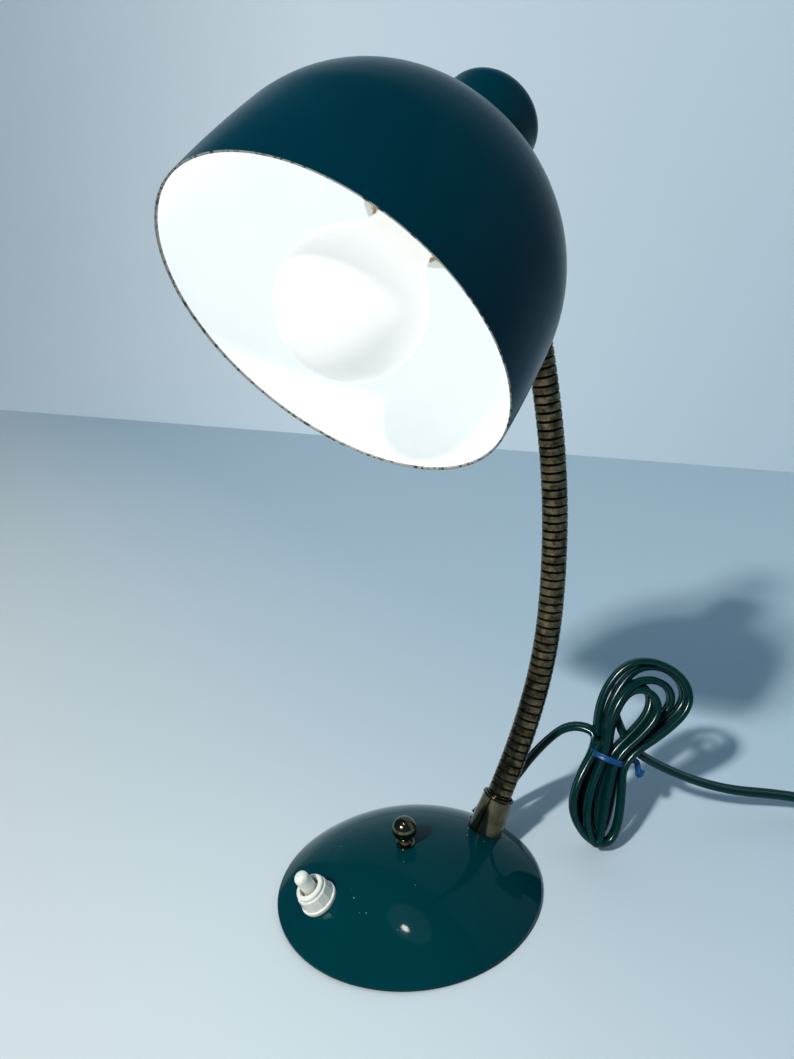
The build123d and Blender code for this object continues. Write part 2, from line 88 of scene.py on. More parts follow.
# %% [markdown]
# The lamp stands on a plain pale floor under soft light. The key light is a broad panel in front
# and to the side, so shadows fall softly behind the lamp; a dim sky fills them. The floor's and
# wall's own tones drift slowly along one axis, which stands in for light falling off with distance.

# %% Floor and lights
bpy.ops.mesh.primitive_plane_add(size=14, location=(0, 0, 0))
floor = bpy.context.object
floor.name = "floor"


def new_material(name):
    """An empty node material with its shader and output, ready to be wired."""
    material = bpy.data.materials.new(name)
    material.use_nodes = True
    nodes = material.node_tree.nodes
    return material, nodes, material.node_tree.links, nodes["Principled BSDF"]


def add_node(nodes, kind, **settings):
    node = nodes.new(kind)
    for socket, value in settings.items():
        node.inputs[socket.replace("_", " ")].default_value = value
    return node


def pale_with_painted_falloff(name, near_colour, far_colour, axis, near, far):
    """A plain pale surface whose tone drifts from one colour to another along one axis: painted light
    fall-off.
    """
    material, nodes, links, shader = new_material(name)
    place = nodes.new("ShaderNodeTexCoord")
    apart = nodes.new("ShaderNodeSeparateXYZ")
    # The drift along one axis is painted light: it stands for the light falling off with distance.
    drift = nodes.new("ShaderNodeMapRange")
    drift.inputs["From Min"].default_value = near
    drift.inputs["From Max"].default_value = far
    cloudy = add_node(nodes, "ShaderNodeTexNoise", Scale=1.5, Detail=3)
    both = nodes.new("ShaderNodeMath")
    both.operation = "MULTIPLY_ADD"
    both.inputs[1].default_value = 0.25
    pale = nodes.new("ShaderNodeMix")
    pale.data_type = "RGBA"
    pale.inputs["A"].default_value = near_colour
    pale.inputs["B"].default_value = far_colour
    links.new(place.outputs["Object"], apart.inputs["Vector"])
    links.new(apart.outputs[axis], drift.inputs["Value"])
    links.new(place.outputs["Object"], cloudy.inputs["Vector"])
    links.new(cloudy.outputs["Fac"], both.inputs[0])
    links.new(drift.outputs["Result"], both.inputs[2])
    links.new(both.outputs["Value"], pale.inputs["Factor"])
    links.new(pale.outputs["Result"], shader.inputs["Base Color"])
    shader.inputs["Roughness"].default_value = 0.6
    return material


floor_finish = pale_with_painted_falloff("pale_floor", (0.68, 0.71, 0.71, 1), (0.48, 0.60, 0.68, 1), "Y", -0.18, 0.30)
floor.data.materials.append(floor_finish)
wall_turn = radians(17.1869)
bpy.ops.mesh.primitive_plane_add(size=1, location=(-1.30, 0.68, 1.5), rotation=(radians(90), 0, wall_turn))
wall = bpy.context.object
wall.name = "wall"
wall.scale = (8, 3, 1)
wall_finish = pale_with_painted_falloff("pale_wall", (0.90, 0.96, 0.99, 1), (0.52, 0.62, 0.68, 1), "X", -0.02, 0.14)
wall.data.materials.append(wall_finish)


def panel_light(name, place, aim, size, power, colour):
    """A square soft light that faces a point."""
    data = bpy.data.lights.new(name, "AREA")
    data.size = size
    data.energy = power
    data.color = colour
    light = bpy.data.objects.new(name, data)
    scene.collection.objects.link(light)
    light.location = place
    light.rotation_euler = (Vector(aim) - Vector(place)).to_track_quat("-Z", "Y").to_euler()
    return light


panel_light("key_panel", (0.66, -1.36, 1.49), (0, 0.10, 0.10), 0.16, 27, (1.0, 0.98, 0.94))
daylight = bpy.data.lights.new("daylight", "SUN")
daylight.energy = 0.75
daylight.angle = radians(2.5)
daylight.color = (1.0, 0.99, 0.97)
daylight_lamp = bpy.data.objects.new("daylight", daylight)
scene.collection.objects.link(daylight_lamp)
daylight_lamp.rotation_euler = Vector((0.66, -1.46, 1.39)).to_track_quat("Z", "Y").to_euler()
world = bpy.data.worlds.new("soft_sky")
world.use_nodes = True
world.node_tree.nodes["Background"].inputs["Color"].default_value = (0.32, 0.60, 0.86, 1)
world.node_tree.nodes["Background"].inputs["Strength"].default_value = 0.21
scene.world = world
scene.view_settings.view_transform = "Standard"
scene.view_settings.look = "Medium High Contrast"

# %% [markdown]
# The flex is flat twin cord: two round cores side by side in one green sheath. It leaves the foot
# behind the neck, is wound into a hank of five loose turns, and runs off to its plug.
# One NURBS spline carries the whole length. Swept along it, a figure-of-eight outline gives
# the two ridges that catch the light.

# %% Cord route
cord_width = 0.0068
lead_points = [(-0.0175, 0.0534, 0.0085), (-0.0188, 0.0758, 0.0215), (-0.0105, 0.0905, 0.0430),
               (0.0020, 0.1010, 0.0595), (0.0175, 0.1110, 0.0565)]
tail_points = [(0.0239, 0.1186, 0.0505), (0.0340, 0.1390, 0.0335), (0.0455, 0.1680, 0.0175),
               (0.0620, 0.1980, 0.0125), (0.0840, 0.2220, 0.0070), (0.1120, 0.2360, 0.0070)]
hank_foot = Vector((0.0274, 0.0935, 0.0050))
hank_top = Vector((0.0224, 0.1462, 0.0936))
hank_axis = (hank_top - hank_foot).normalized()
hank_length = (hank_top - hank_foot).length
hank_wide = Vector((0.513, 0.756, -0.408)).normalized()
hank_thick = hank_axis.cross(hank_wide)
waist_along = 0.0455
waist_shift = -0.0080


def smooth_step(value):
    value = min(max(value, 0), 1)
    return value * value * (3 - 2 * value)


def hank_point(angle, turn):
    """A point on one turn: a long loop with a wide upper lobe and a slim lower one, tied between them."""
    top, foot, upper_width, lower_width, shift, pinch, depth = turn
    rise = sin(angle)
    if rise > 0:
        along = waist_along + (top - waist_along) * rise
        middle = waist_shift + (shift - waist_shift) * smooth_step(rise * 1.15)
        width = upper_width
    else:
        along = waist_along + (waist_along - foot) * rise
        middle = waist_shift + 0.0085 * (-rise) ** 3
        width = lower_width
    across = middle + cos(angle) * (pinch + 2 * width * abs(rise))
    return hank_foot + hank_axis * along + hank_wide * across + hank_thick * depth * (1 + 0.3 * abs(rise))


# Each turn: top, foot, half widths of the two lobes, sideways shift, half width at the tie, depth
hank_turns = [(0.0985, 0.0005, 0.0170, 0.0082, 0.0010, 0.0066, -0.0036),
              (0.1000, 0.0020, 0.0160, 0.0050, 0.0030, 0.0062, 0.0038),
              (0.0945, 0.0045, 0.0125, 0.0040, 0.0025, 0.0030, 0.0036),
              (0.0850, 0.0000, 0.0088, 0.0024, -0.0025, 0.0030, -0.0038),
              (0.0815, 0.0060, 0.0072, 0.0006, -0.0040, 0.0006, 0.0000),
              (0.0880, 0.0060, 0.0110, 0.0010, -0.0010, 0.0046, 0.0070)]
points_per_turn = 16
turn_count = 5
hank_points = []
for step in range(1, turn_count * points_per_turn - 1):
    number, part_turn = divmod(step / points_per_turn, 1)
    change = smooth_step((part_turn - 0.55) / 0.4)
    here, following = hank_turns[int(number)], hank_turns[int(number) + 1]
    turn = [first + (second - first) * change for first, second in zip(here, following)]
    hank_points.append(hank_point(pi + 2 * pi * part_turn, turn))
route = [Vector(point) for point in lead_points] + hank_points + [Vector(point) for point in tail_points]
print("route points", len(route))


# %% [markdown]
# The spline is read back as a line of points: the centreline that the cord is measured on. The outline is
# swept along that line as one closed tube mesh.

# %% Sweep the cord
def only(thing):
    """Makes one object the only selected one."""
    bpy.ops.object.select_all(action="DESELECT")
    thing.select_set(True)
    bpy.context.view_layer.objects.active = thing


def nurbs_curve(name, points):
    data = bpy.data.curves.new(name, "CURVE")
    data.dimensions = "3D"
    data.resolution_u = 6
    spline = data.splines.new("NURBS")
    spline.points.add(len(points) - 1)
    for point, place in zip(spline.points, points):
        point.co = (*place, 1)
    spline.order_u = 3
    spline.use_endpoint_u = True
    curve = bpy.data.objects.new(name, data)
    scene.collection.objects.link(curve)
    return curve


def mesh_of(thing):
    bpy.context.view_layer.update()
    return bpy.data.meshes.new_from_object(thing.evaluated_get(bpy.context.evaluated_depsgraph_get()))


def twin_outline(width, thickness, steps=9):
    """Two round cores side by side seen end on: (across, through) pairs round the outline."""
    radius = thickness / 2
    centre = width / 2 - radius
    opening = radians(140)
    right = []
    for step in range(steps + 1):
        angle = -opening + 2 * opening * step / steps
        right.append((centre + radius * cos(angle), radius * sin(angle)))
    return right + [(-across, -through) for across, through in right]


def flat_sweep(name, line, wide_directions, outline):
    """A closed tube along a line of points, its outline's wide side turned to the given directions."""
    mesh = bmesh.new()
    rings = []
    for number, point in enumerate(line):
        ahead = line[min(number + 1, len(line) - 1)]
        behind = line[max(number - 1, 0)]
        tangent = (ahead - behind).normalized()
        wide = (wide_directions[number] - tangent * wide_directions[number].dot(tangent)).normalized()
        thin = tangent.cross(wide)
        rings.append([mesh.verts.new(point + wide * across + thin * through) for across, through in outline])
    for first, second in zip(rings, rings[1:]):
        for number in range(len(outline)):
            following = (number + 1) % len(outline)
            mesh.faces.new((first[number], first[following], second[following], second[number]))
    mesh.faces.new(rings[0][::-1])
    mesh.faces.new(rings[-1])
    bmesh.ops.recalc_face_normals(mesh, faces=mesh.faces)
    data = bpy.data.meshes.new(name)
    mesh.to_mesh(data)
    mesh.free()
    piece = bpy.data.objects.new(name, data)
    scene.collection.objects.link(piece)
    only(piece)
    bpy.ops.object.shade_smooth_by_angle(angle=radians(50))
    return piece


route_curve = nurbs_curve("cord_route", route)
centreline = [vertex.co.copy() for vertex in mesh_of(route_curve).vertices]
bpy.data.objects.remove(route_curve)
cord_length = sum((second - first).length for first, second in zip(centreline, centreline[1:]))
wide_directions = []
travelled = 0
hank_end = cord_length - 0.175
for number, point in enumerate(centreline):
    travelled += (point - centreline[max(number - 1, 0)]).length
    in_hank = smooth_step((travelled - 0.075) / 0.04) * smooth_step((hank_end + 0.03 - travelled) / 0.04)
    tangent = (centreline[min(number + 1, len(centreline) - 1)] - centreline[max(number - 1, 0)]).normalized()
    level = tangent.cross(Vector((0, 0, 1))).normalized()
    if level.dot(hank_thick) < 0:
        level = -level
    wide_directions.append(level.lerp(hank_thick, in_hank))
cord = flat_sweep("twin_flex", centreline, wide_directions, twin_outline(cord_width, 0.0037))
print("cord length", round(cord_length, 3), "m, faces", len(cord.data.polygons))

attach(cord, "base")
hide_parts("cord_lead", "cord_hank", "cord_tail")

# %% [markdown]
# Where the flex leaves the foot it runs in a strain relief: a ribbed sleeve that narrows along the
# cord. It is a round bevel on a short length of the cord's own centreline, thinner towards the end.

# %% Strain relief
relief_length = 0.022
relief_points = [centreline[0]]
travelled = 0
for previous, point in zip(centreline, centreline[1:]):
    travelled += (point - previous).length
    if travelled < relief_length:
        relief_points.append(point)
relief_curve = nurbs_curve("relief_line", relief_points)
relief_curve.data.bevel_depth = 0.001
relief_curve.data.bevel_resolution = 8
relief_curve.data.use_fill_caps = True
for number, point in enumerate(relief_curve.data.splines[0].points):
    part_way = number / (len(relief_points) - 1)
    point.radius = 5.0 - 1.0 * part_way + 0.25 * cos(part_way * 10 * pi)
relief = bpy.data.objects.new("strain_relief", mesh_of(relief_curve))
scene.collection.objects.link(relief)
bpy.data.objects.remove(relief_curve)
only(relief)
bpy.ops.object.shade_smooth_by_angle(angle=radians(40))
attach(relief, "base")
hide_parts("cord_grommet")
print("strain relief", len(relief_points), "points")

# %% [markdown]
# A blue plastic strap holds the hank together: an oval loop round its waist and a small folded
# tail that stands out at the side.

# %% Tie
tie_centre = hank_foot + hank_axis * hank_length * 0.42 + hank_wide * waist_shift
tie_points = []
for step in range(49):
    angle = 2 * pi * step / 48
    tie_points.append(tie_centre + hank_wide * 0.0093 * cos(angle) + hank_thick * 0.0089 * sin(angle))
for step in range(13):
    angle = pi * step / 12
    out = hank_wide * (0.0096 + 0.0100 * sin(angle * 0.5) ** 0.8)
    tie_points.append(tie_centre + out + hank_axis * 0.0032 * sin(angle * 2) + hank_thick * 0.0006)
tie = flat_sweep("strap_tie", tie_points, [hank_axis] * len(tie_points), twin_outline(0.0032, 0.0011))
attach(tie, "base")
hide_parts("cord_tie")

# %% [markdown]
# Round parts are turned on a lathe or spun over a form. In Blender that is a ring of edges,
# extruded and resized step by step along an axis. Each list of rings is a drawing of half
# the section: a radius and a height for every step, with formulas where the outline is round.

# %% Turning helper
def turned(name, rings, steps=96, closed=False):
    """A turned shape standing at the origin: rings of (radius, height) joined by extrusion."""
    bpy.ops.object.select_all(action="DESELECT")
    radius, height = rings[0]
    bpy.ops.mesh.primitive_circle_add(vertices=steps, radius=radius, location=(0, 0, height))
    piece = bpy.context.object
    piece.name = name
    bpy.ops.object.transform_apply(location=True)
    bpy.ops.object.mode_set(mode="EDIT")
    bpy.ops.mesh.select_all(action="SELECT")
    for next_radius, next_height in rings[1:]:
        bpy.ops.mesh.extrude_region_move(TRANSFORM_OT_translate={"value": (0, 0, next_height - height)})
        ratio = next_radius / radius
        bpy.ops.transform.resize(value=(ratio, ratio, 1), center_override=(0, 0, next_height))
        radius, height = next_radius, next_height
    bpy.ops.mesh.select_all(action="SELECT")
    bpy.ops.mesh.remove_doubles(threshold=2e-6)
    bpy.ops.mesh.normals_make_consistent(inside=False)
    bpy.ops.object.mode_set(mode="OBJECT")
    return piece


def stand(piece, place, axis, across=(1, 0, 0)):
    """Puts a shape made at the origin where it belongs, and leaves its object at the origin."""
    up = Vector(axis).normalized()
    side = (Vector(across) - up * Vector(across).dot(up)).normalized()
    turn = Matrix((side, up.cross(side), up)).transposed().to_4x4()
    piece.matrix_world = Matrix.Translation(Vector(place)) @ turn
    only(piece)
    bpy.ops.object.transform_apply(location=True, rotation=True, scale=True)
    return piece


def smooth(piece, angle=35):
    only(piece)
    bpy.ops.object.shade_smooth_by_angle(angle=radians(angle))


def arc_rings(centre_radius, centre_height, arc_radius, start, end, count):
    """Rings along a round stretch of the section, from one angle to another, in degrees."""
    rings = []
    for step in range(count + 1):
        angle = radians(start + (end - start) * step / count)
        radius = max(centre_radius + arc_radius * cos(angle), 1e-6)
        rings.append((radius, centre_height + arc_radius * sin(angle)))
    return rings


# %% [markdown]
# Enamel is glossy and almost even. What sells it is small: a slow change of tone, a faint
# orange-peel ripple in the highlights, and a few pale specks of dust and paint.

# %% Green enamel
def enamel(name, colour, deep_colour, roughness, ripple, specks, specular):
    material, nodes, links, shader = new_material(name)
    place = nodes.new("ShaderNodeTexCoord")
    tone = add_node(nodes, "ShaderNodeTexNoise", Scale=22, Detail=4)
    blend = nodes.new("ShaderNodeMix")
    blend.data_type = "RGBA"
    blend.inputs["A"].default_value = deep_colour
    blend.inputs["B"].default_value = colour
    speck = add_node(nodes, "ShaderNodeTexVoronoi", Scale=210)
    speck_gate = nodes.new("ShaderNodeMapRange")
    speck_gate.inputs["From Min"].default_value = specks * 1.5
    speck_gate.inputs["From Max"].default_value = specks
    speck_choice = add_node(nodes, "ShaderNodeTexNoise", Scale=38, Detail=1)
    choice_gate = nodes.new("ShaderNodeMapRange")
    choice_gate.inputs["From Min"].default_value = 0.60
    choice_gate.inputs["From Max"].default_value = 0.64
    both = nodes.new("ShaderNodeMath")
    both.operation = "MULTIPLY"
    dusted = nodes.new("ShaderNodeMix")
    dusted.data_type = "RGBA"
    dusted.inputs["B"].default_value = (0.30, 0.36, 0.33, 1)
    links.new(place.outputs["Object"], tone.inputs["Vector"])
    links.new(place.outputs["Object"], speck.inputs["Vector"])
    links.new(place.outputs["Object"], speck_choice.inputs["Vector"])
    links.new(tone.outputs["Fac"], blend.inputs["Factor"])
    links.new(speck.outputs["Distance"], speck_gate.inputs["Value"])
    links.new(speck_choice.outputs["Fac"], choice_gate.inputs["Value"])
    links.new(speck_gate.outputs["Result"], both.inputs[0])
    links.new(choice_gate.outputs["Result"], both.inputs[1])
    links.new(both.outputs["Value"], dusted.inputs["Factor"])
    links.new(blend.outputs["Result"], dusted.inputs["A"])
    links.new(dusted.outputs["Result"], shader.inputs["Base Color"])
    haze = add_node(nodes, "ShaderNodeTexNoise", Scale=60, Detail=5)
    haze_range = nodes.new("ShaderNodeMapRange")
    haze_range.inputs["To Min"].default_value = roughness * 0.8
    haze_range.inputs["To Max"].default_value = roughness * 1.3
    links.new(place.outputs["Object"], haze.inputs["Vector"])
    links.new(haze.outputs["Fac"], haze_range.inputs["Value"])
    links.new(haze_range.outputs["Result"], shader.inputs["Roughness"])
    shader.inputs["IOR"].default_value = 1.22
    shader.inputs["Specular IOR Level"].default_value = specular
    peel = add_node(nodes, "ShaderNodeTexNoise", Scale=330, Detail=2)
    bump = nodes.new("ShaderNodeBump")
    bump.inputs["Strength"].default_value = ripple
    bump.inputs["Distance"].default_value = 0.0002
    links.new(place.outputs["Object"], peel.inputs["Vector"])
    links.new(peel.outputs["Fac"], bump.inputs["Height"])
    links.new(bump.outputs["Normal"], shader.inputs["Normal"])
    return material


foot_enamel = enamel("foot_green_enamel", (0.0001, 0.050, 0.060, 1), (0.0001, 0.038, 0.048, 1),
                     0.07, 0.05, 0.055, 0.5)
shade_enamel = enamel("shade_green_enamel", (0.0001, 0.042, 0.062, 1), (0.0001, 0.031, 0.049, 1),
                      0.22, 0.08, 0.035, 0.25)
print("enamels", foot_enamel.name, shade_enamel.name)

# %% [markdown]
# The inside of the shade is white enamel, flooded by the bulb. It gets a little light of its own,
# because the bulb's light bounces round a real shade many more times than a render allows.

# %% White enamel and bare rim
# The inside glows by itself over a mid grey base: it stands for the light of the bulb.
white_enamel, nodes, links, shader = new_material("lit_white_enamel")
place = nodes.new("ShaderNodeTexCoord")
mottle = add_node(nodes, "ShaderNodeTexNoise", Scale=45, Detail=4)
tint = nodes.new("ShaderNodeMix")
tint.data_type = "RGBA"
tint.inputs["A"].default_value = (0.40, 0.43, 0.43, 1)
tint.inputs["B"].default_value = (0.46, 0.49, 0.49, 1)
links.new(place.outputs["Object"], mottle.inputs["Vector"])
links.new(mottle.outputs["Fac"], tint.inputs["Factor"])
links.new(tint.outputs["Result"], shader.inputs["Base Color"])
shader.inputs["Roughness"].default_value = 0.3
shader.inputs["Emission Color"].default_value = (0.93, 0.98, 1.0, 1)
shader.inputs["Emission Strength"].default_value = 0.50

bare_rim, nodes, links, shader = new_material("chipped_rim")
place = nodes.new("ShaderNodeTexCoord")
chips = add_node(nodes, "ShaderNodeTexNoise", Scale=520, Detail=4)
chip_gate = nodes.new("ShaderNodeMapRange")
chip_gate.inputs["From Min"].default_value = 0.53
chip_gate.inputs["From Max"].default_value = 0.60
worn = nodes.new("ShaderNodeMix")
worn.data_type = "RGBA"
worn.inputs["A"].default_value = (0.30, 0.29, 0.26, 1)
worn.inputs["B"].default_value = (0.035, 0.04, 0.04, 1)
links.new(place.outputs["Object"], chips.inputs["Vector"])
links.new(chips.outputs["Fac"], chip_gate.inputs["Value"])
links.new(chip_gate.outputs["Result"], worn.inputs["Factor"])
links.new(worn.outputs["Result"], shader.inputs["Base Color"])
shader.inputs["Metallic"].default_value = 0.2
shader.inputs["Roughness"].default_value = 0.45

# %% [markdown]
# The foot is spun from sheet steel: one smooth dome with a short upright lip. Its section is part of a
# sphere, so an arc formula draws it. The wall turns under at the lip. The real foot has holes for the neck,
# the switch, the tie stud and the flex; here the dome is left whole, and their collars sit on it.

# %% Foot dome
base_low, base_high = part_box("base_shell")
foot_radius = (base_high.y - base_low.y) / 2
dome_height = base_high.z + 0.0001
lip_height = 0.0022
rise = dome_height - lip_height
sphere_radius = (foot_radius**2 + rise**2) / (2 * rise)
sphere_centre = dome_height - sphere_radius
sheet = 0.0012


def dome_rings(inset, count=30):
    rings = []
    limit = foot_radius - inset
    for step in range(count + 1):
        radius = limit * sin(pi / 2 * step / count)
        rings.append((max(radius, 1e-6), sphere_centre + sqrt((sphere_radius - inset) ** 2 - radius**2)))
    return rings


outer = dome_rings(0)[::-1]
inner = dome_rings(sheet)
lip = [(foot_radius - 0.0003, 0.0008), (foot_radius, 0.0011)]
under = [(foot_radius - sheet, 0.0009)]
foot = turned("foot_dome", lip + outer + inner[1:] + under + lip[:1], steps=128)
foot.data.materials.append(foot_enamel)
smooth(foot, 30)
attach(foot, "base")
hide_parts("base_shell")
print("foot radius", round(foot_radius, 4), "faces", len(foot.data.polygons))

# %% [markdown]
# The shade is spun too: a nearly straight skirt, a generous round shoulder and a flat crown.
# Outside and inside differ in colour, so the faces are sorted after turning: those that look
# away from the axis or up are green, those that look inwards are white, and the cut edge is bare.

# %% Shade
rim_centre = Vector((0.0380, -0.0322, 0.2688))
head_axis = Vector((-0.2512, 0.7378, 0.6266)).normalized()
head_side = (0.947, 0.322, 0)
rim_radius = 0.0715
shade_sheet = 0.0008
crown_height = 0.0951


def shade_rings(inset, count=26):
    """The skirt and the shoulder, from the rim up to the edge of the flat crown."""
    rings = []
    for height in (0, 0.0009, 0.0065, 0.0130, 0.0190, 0.0255, 0.0320):
        rings.append((rim_radius - inset - 0.0019 * (height / 0.038) ** 2, height))
    centre_radius, centre_height, arc_radius = 0.0036, 0.0310, 0.0664 - inset
    start = atan2(0.0070, 0.0660)
    end = atan2(crown_height - 0.0310, 0.0189)
    for step in range(count + 1):
        angle = start + (end - start) * step / count
        stretch = 1 + 0.012 * sin(pi * step / count)
        reach = arc_radius * stretch
        rings.append((centre_radius + reach * cos(angle), centre_height + reach * sin(angle)))
    return rings


outer = shade_rings(0)
inner = [(radius, height) for radius, height in shade_rings(shade_sheet) if height > 0]
hole = 0.0168
crown = [(hole + 0.002, crown_height), (hole, crown_height), (hole, crown_height - shade_sheet),
         (hole + 0.002, crown_height - shade_sheet)]
rim_roll = [(rim_radius - shade_sheet, 0.0001), (rim_radius - shade_sheet * 0.5, -0.0002), (rim_radius, 0)]
shade = turned("shade_bowl", outer + crown + inner[::-1] + rim_roll, steps=160)
shade.data.materials.append(shade_enamel)
shade.data.materials.append(white_enamel)
shade.data.materials.append(bare_rim)
for face in shade.data.polygons:
    outwards = face.center.x * face.normal.x + face.center.y * face.normal.y + 0.02 * face.normal.z
    if face.center.z < 0.00012 or (outwards < 0 and face.center.z < 0.0009):
        face.material_index = 2
    elif outwards < 0:
        face.material_index = 1
smooth(shade, 40)
stand(shade, rim_centre, head_axis, head_side)
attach(shade, "head")
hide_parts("shade")
print("shade faces", len(shade.data.polygons))

# %% [markdown]
# A cover of the same green closes over the lampholder behind the shade. It is a small drawn cup
# with a rounded end.

# %% Socket cover
cover_radius = 0.0218
cover_top = 0.1360
corner = 0.010
cover_outer = [(cover_radius, crown_height), (cover_radius, 0.110)]
cover_outer += arc_rings(cover_radius - corner, cover_top - corner, corner, 0, 90, 12)
cover_outer += [(0.004, cover_top + 0.0001), (1e-6, cover_top + 0.0001)]
cover_outside = turned("socket_cover_cup", cover_outer, steps=96)
only(cover_outside)
thickness = cover_outside.modifiers.new("wall", "SOLIDIFY")
thickness.thickness = 0.0008
thickness.offset = -1
bpy.ops.object.modifier_apply(modifier="wall")
cover = cover_outside
cover.data.materials.append(shade_enamel)
smooth(cover, 40)
stand(cover, rim_centre, head_axis, head_side)
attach(cover, "head")
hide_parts("socket_cover")
print("cover faces", len(cover.data.polygons))

# %% [markdown]
# Old brass goes brown in its hollows and stays bright where hands rub it. The colour follows
# a noise at two scales, and the fine scratches run in the roughness.

# %% Brass
def old_brass(name, bright, dark, roughness, scale):
    material, nodes, links, shader = new_material(name)
    place = nodes.new("ShaderNodeTexCoord")
    patina = add_node(nodes, "ShaderNodeTexNoise", Scale=scale, Detail=6, Roughness=0.65)
    spread = nodes.new("ShaderNodeMapRange")
    spread.inputs["From Min"].default_value = 0.38
    spread.inputs["From Max"].default_value = 0.62
    mix = nodes.new("ShaderNodeMix")
    mix.data_type = "RGBA"
    mix.inputs["A"].default_value = bright
    mix.inputs["B"].default_value = dark
    links.new(place.outputs["Object"], patina.inputs["Vector"])
    links.new(patina.outputs["Fac"], spread.inputs["Value"])
    links.new(spread.outputs["Result"], mix.inputs["Factor"])
    links.new(mix.outputs["Result"], shader.inputs["Base Color"])
    shader.inputs["Metallic"].default_value = 1.0
    scratch = add_node(nodes, "ShaderNodeTexNoise", Scale=scale * 6, Detail=4)
    wear = nodes.new("ShaderNodeMapRange")
    wear.inputs["To Min"].default_value = roughness * 0.75
    wear.inputs["To Max"].default_value = roughness * 1.4
    links.new(place.outputs["Object"], scratch.inputs["Vector"])
    links.new(scratch.outputs["Fac"], wear.inputs["Value"])
    links.new(wear.outputs["Result"], shader.inputs["Roughness"])
    bump = nodes.new("ShaderNodeBump")
    bump.inputs["Strength"].default_value = 0.15
    bump.inputs["Distance"].default_value = 0.0001
    links.new(scratch.outputs["Fac"], bump.inputs["Height"])
    links.new(bump.outputs["Normal"], shader.inputs["Normal"])
    return material


band_brass = old_brass("band_old_brass", (0.22, 0.18, 0.11, 1), (0.05, 0.04, 0.026, 1), 0.22, 240)
# The grooves get near-black brass: painted shade for the deep gap between the windings.
groove_painted_shade = old_brass("groove_painted_shade_brass", (0.030, 0.024, 0.018, 1), (0.010, 0.009, 0.008, 1), 0.6, 200)
polished_brass = old_brass("polished_brass", (0.17, 0.15, 0.10, 1), (0.09, 0.075, 0.045, 1), 0.13, 120)

# %% [markdown]
# The neck is a wound strip: flat bands with thin dark grooves between them. One band is turned, with its
# edges eased, and copied along the neck's own line. The line is a chain of arcs, the same as in the CAD. Each
# stretch of bands crosses one hinge and is joined into one piece.

# %% Neck line
neck_foot = Vector((0, 0.0459, 0.0142))
neck_lean = 0.025
neck_stretches = [(0.030, 0.0), (0.045, -8.5), (0.045, -12.5), (0.045, -6.5),
                  (0.045, -7.0), (0.045, -5.0), (0.045, -9.0), (0.040, -35.0)]


def neck_station(distance):
    """The point on the neck's line at a distance from its foot, and the direction there."""
    across, up, angle = 0.0, 0.0, 28.5
    remaining = distance
    for length, turn in neck_stretches:
        step = min(remaining, length)
        step_turn = radians(turn) * step / length
        chord = step if turn == 0 else 2 * sin(step_turn / 2) * length / radians(turn)
        heading = radians(angle) + step_turn / 2
        across += chord * sin(heading)
        up += chord * cos(heading)
        angle += turn * step / length
        remaining -= step
        if remaining <= 0:
            break
    tangent = Vector((neck_lean * cos(radians(angle)), sin(radians(angle)), cos(radians(angle)))).normalized()
    return neck_foot + Vector((neck_lean * up, across, up)), tangent


def neck_matrix(distance):
    place, tangent = neck_station(distance)
    side = Vector((1, 0, -neck_lean)).normalized()
    turn = Matrix((side, tangent.cross(side), tangent)).transposed().to_4x4()
    return Matrix.Translation(place) @ turn


print("neck top", [round(value, 4) for value in neck_station(0.319)[0]])

# %% Neck bands
band_pitch = 0.00418
band_radius = 0.00625
groove_radius = 0.0056
half_band = 0.00172
ease = 0.00028
half_pitch = band_pitch / 2
band_section = [(groove_radius, -half_pitch), (groove_radius, -half_band), (band_radius - ease, -half_band),
                (band_radius, -half_band + ease), (band_radius, half_band - ease),
                (band_radius - ease, half_band), (groove_radius, half_band), (groove_radius, half_pitch)]
band = turned("band_master", band_section, steps=48)
band.data.materials.append(band_brass)
band.data.materials.append(groove_painted_shade)
# Faces down in the grooves take the painted shade.
for face in band.data.polygons:
    distance = sqrt(face.center.x**2 + face.center.y**2)
    if distance < (groove_radius + band_radius) / 2 + 0.0001 and abs(face.center.z) > half_band - 0.0001:
        face.material_index = 1
hinge_places = [0.075, 0.120, 0.165, 0.210, 0.255, 0.300]
stretch_ends = [0.0085] + [place + 0.0225 for place in hinge_places[:-1]] + [0.3185]
distance = stretch_ends[0] + half_pitch
neck_links = [f"neck_link_{number}" for number in range(1, 8)]
for number, hinge in enumerate(hinge_places):
    copies = []
    while distance < stretch_ends[number + 1]:
        copy = bpy.data.objects.new("band_copy", band.data.copy())
        scene.collection.objects.link(copy)
        copy.data.transform(neck_matrix(distance))
        copies.append(copy)
        distance += band_pitch
    bpy.ops.object.select_all(action="DESELECT")
    for copy in copies:
        copy.select_set(True)
    bpy.context.view_layer.objects.active = copies[0]
    bpy.ops.object.join()
    stretch = bpy.context.object
    stretch.name = f"neck_bands_{number + 1}"
    only(stretch)
    bpy.ops.object.mode_set(mode="EDIT")
    bpy.ops.mesh.select_all(action="SELECT")
    bpy.ops.mesh.remove_doubles(threshold=0.0002)
    bpy.ops.object.mode_set(mode="OBJECT")
    smooth(stretch, 30)
    bend_start = neck_station(hinge - 0.020)[0]
    bend_end = neck_station(hinge + 0.018)[0]
    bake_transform(stretch)
    nodes_here = [neck_links[number]] if number < 5 else neck_links[5:]
    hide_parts(*nodes_here)
    print(stretch.name, "bands", len(copies), "faces", len(stretch.data.polygons))
bpy.data.objects.remove(band)

# %% [markdown]
# A brass ferrule holds the neck on the foot: a slightly tapered tube with a small rolled lip.

